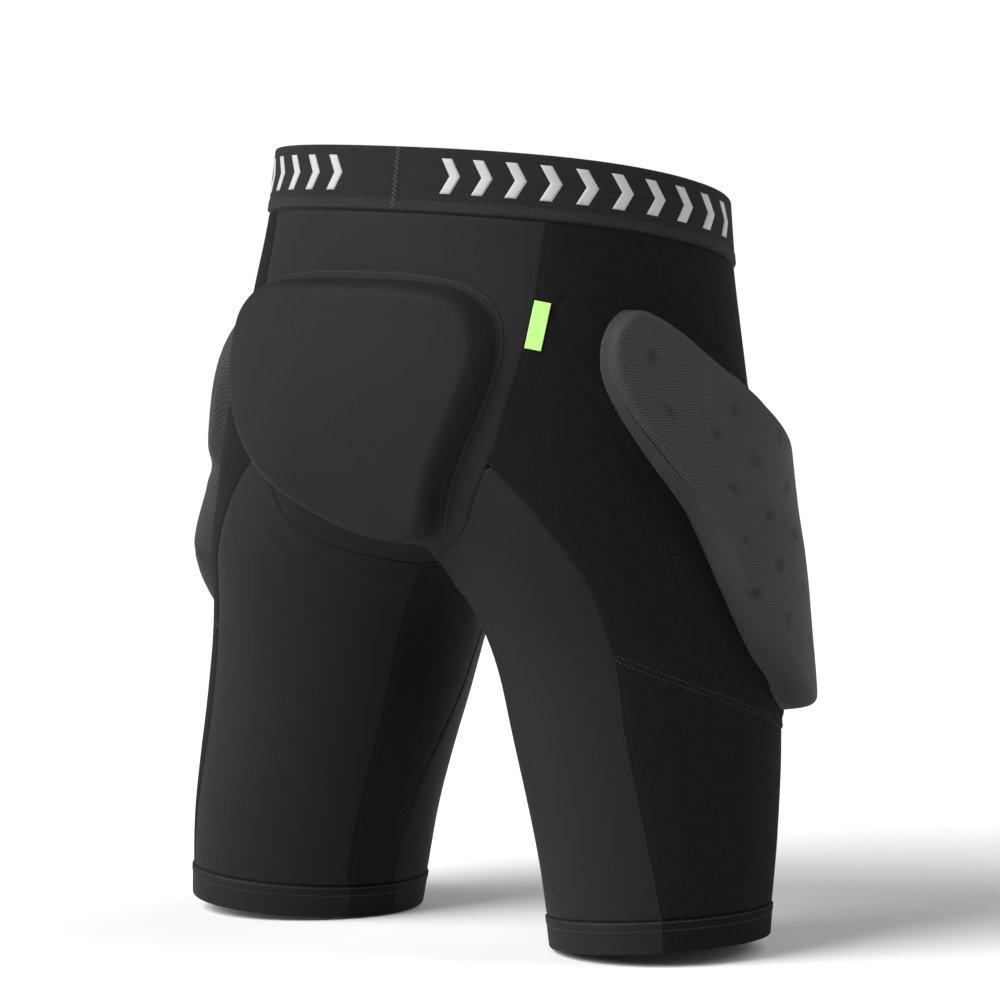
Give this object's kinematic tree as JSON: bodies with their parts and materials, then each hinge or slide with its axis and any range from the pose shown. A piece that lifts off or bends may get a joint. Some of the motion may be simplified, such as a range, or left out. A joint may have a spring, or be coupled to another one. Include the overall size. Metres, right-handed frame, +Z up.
{
  "type": "padded impact shorts",
  "caption": "Close-fitting knitted shorts with an elastic waistband, a raised tail pad over the seat and a raised vented foam pad on each hip.",
  "frame": {"origin": "centre of the waist opening, on the top edge of the waistband", "axes": "+Z up the wearer's body, +Y towards the wearer's back, +X towards the wearer's left"},
  "size_m": [0.4488, 0.2685, 0.499],
  "materials": {
    "elastic": "heathered charcoal elastic, knitted, matt",
    "jersey": "smooth black stretch jersey, soft sheen",
    "gusset_jersey": "smooth black stretch jersey, matt",
    "twill_knit": "fine diagonal rib knit, black, matt",
    "pad_mesh": "fine open mesh over foam, dark grey, slight shine",
    "foam": "closed-cell foam, matt",
    "lining": "thin mesh lining, black",
    "seam": "sewn seam, black",
    "stitch_thread": "twin-needle polyester thread, dark grey",
    "zigzag_thread": "zigzag polyester thread, grey",
    "label": "lime green woven tab, plain",
    "band_pattern": "woven pale grey chevrons, plain pattern"
  },
  "bodies": {
    "seat": {"waistband": "elastic", "waistband_join_stitch": "zigzag_thread", "waist_seam": "seam", "seat_panel": "jersey", "front_panel": "jersey", "side_panel_left": "twill_knit", "seat_seam_left": "seam", "front_seam_left": "seam", "side_panel_seams_left": "seam", "hip_pad_foam_left": "foam", "hip_pad_cover_left": "pad_mesh", "hip_pad_lining_left": "lining", "hip_pocket_stitching_left": "stitch_thread", "side_panel_right": "twill_knit", "seat_seam_right": "seam", "front_seam_right": "seam", "side_panel_seams_right": "seam", "hip_pad_foam_right": "foam", "hip_pad_cover_right": "pad_mesh", "hip_pad_lining_right": "lining", "hip_pocket_stitching_right": "stitch_thread", "tail_pad_foam": "foam", "tail_pad_cover": "jersey", "tail_pad_lining": "lining", "tail_pad_stitching": "stitch_thread"},
    "leg_left": {"rear_leg_panel_left": "jersey", "front_leg_panel_left": "jersey", "lower_side_panel_left": "twill_knit", "gusset_left": "gusset_jersey", "hem_left": "jersey", "outer_leg_seams_left": "seam", "gusset_seams_left": "seam", "hem_stitching_left": "stitch_thread"},
    "leg_right": {"rear_leg_panel_right": "jersey", "front_leg_panel_right": "jersey", "lower_side_panel_right": "twill_knit", "gusset_right": "gusset_jersey", "hem_right": "jersey", "outer_leg_seams_right": "seam", "gusset_seams_right": "seam", "hem_stitching_right": "stitch_thread"},
    "label": {"side_label": "label"}
  },
  "joints": [
    {"name": "left_leg_flexion", "type": "hinge", "parent": "seat", "child": "leg_left", "pos_m": [0.098, 0.014, -0.24], "axis": [-1, 0, 0], "range_deg": [-15, 40], "stiffness_Nm_per_rad": 0.6, "deforming": ["rear_leg_panel_left", "front_leg_panel_left", "lower_side_panel_left", "gusset_left", "outer_leg_seams_left", "gusset_seams_left"]},
    {"name": "right_leg_flexion", "type": "hinge", "parent": "seat", "child": "leg_right", "pos_m": [-0.098, 0.014, -0.24], "axis": [-1, 0, 0], "range_deg": [-15, 40], "stiffness_Nm_per_rad": 0.6, "deforming": ["rear_leg_panel_right", "front_leg_panel_right", "lower_side_panel_right", "gusset_right", "outer_leg_seams_right", "gusset_seams_right"]},
    {"name": "label_flip", "type": "hinge", "parent": "seat", "child": "label", "pos_m": [-0.11068, 0.10891, -0.08258], "axis": [0.0523, 0.2809, -0.9583], "range_deg": [0, 110], "stiffness_Nm_per_rad": 0.0006}
  ]
}
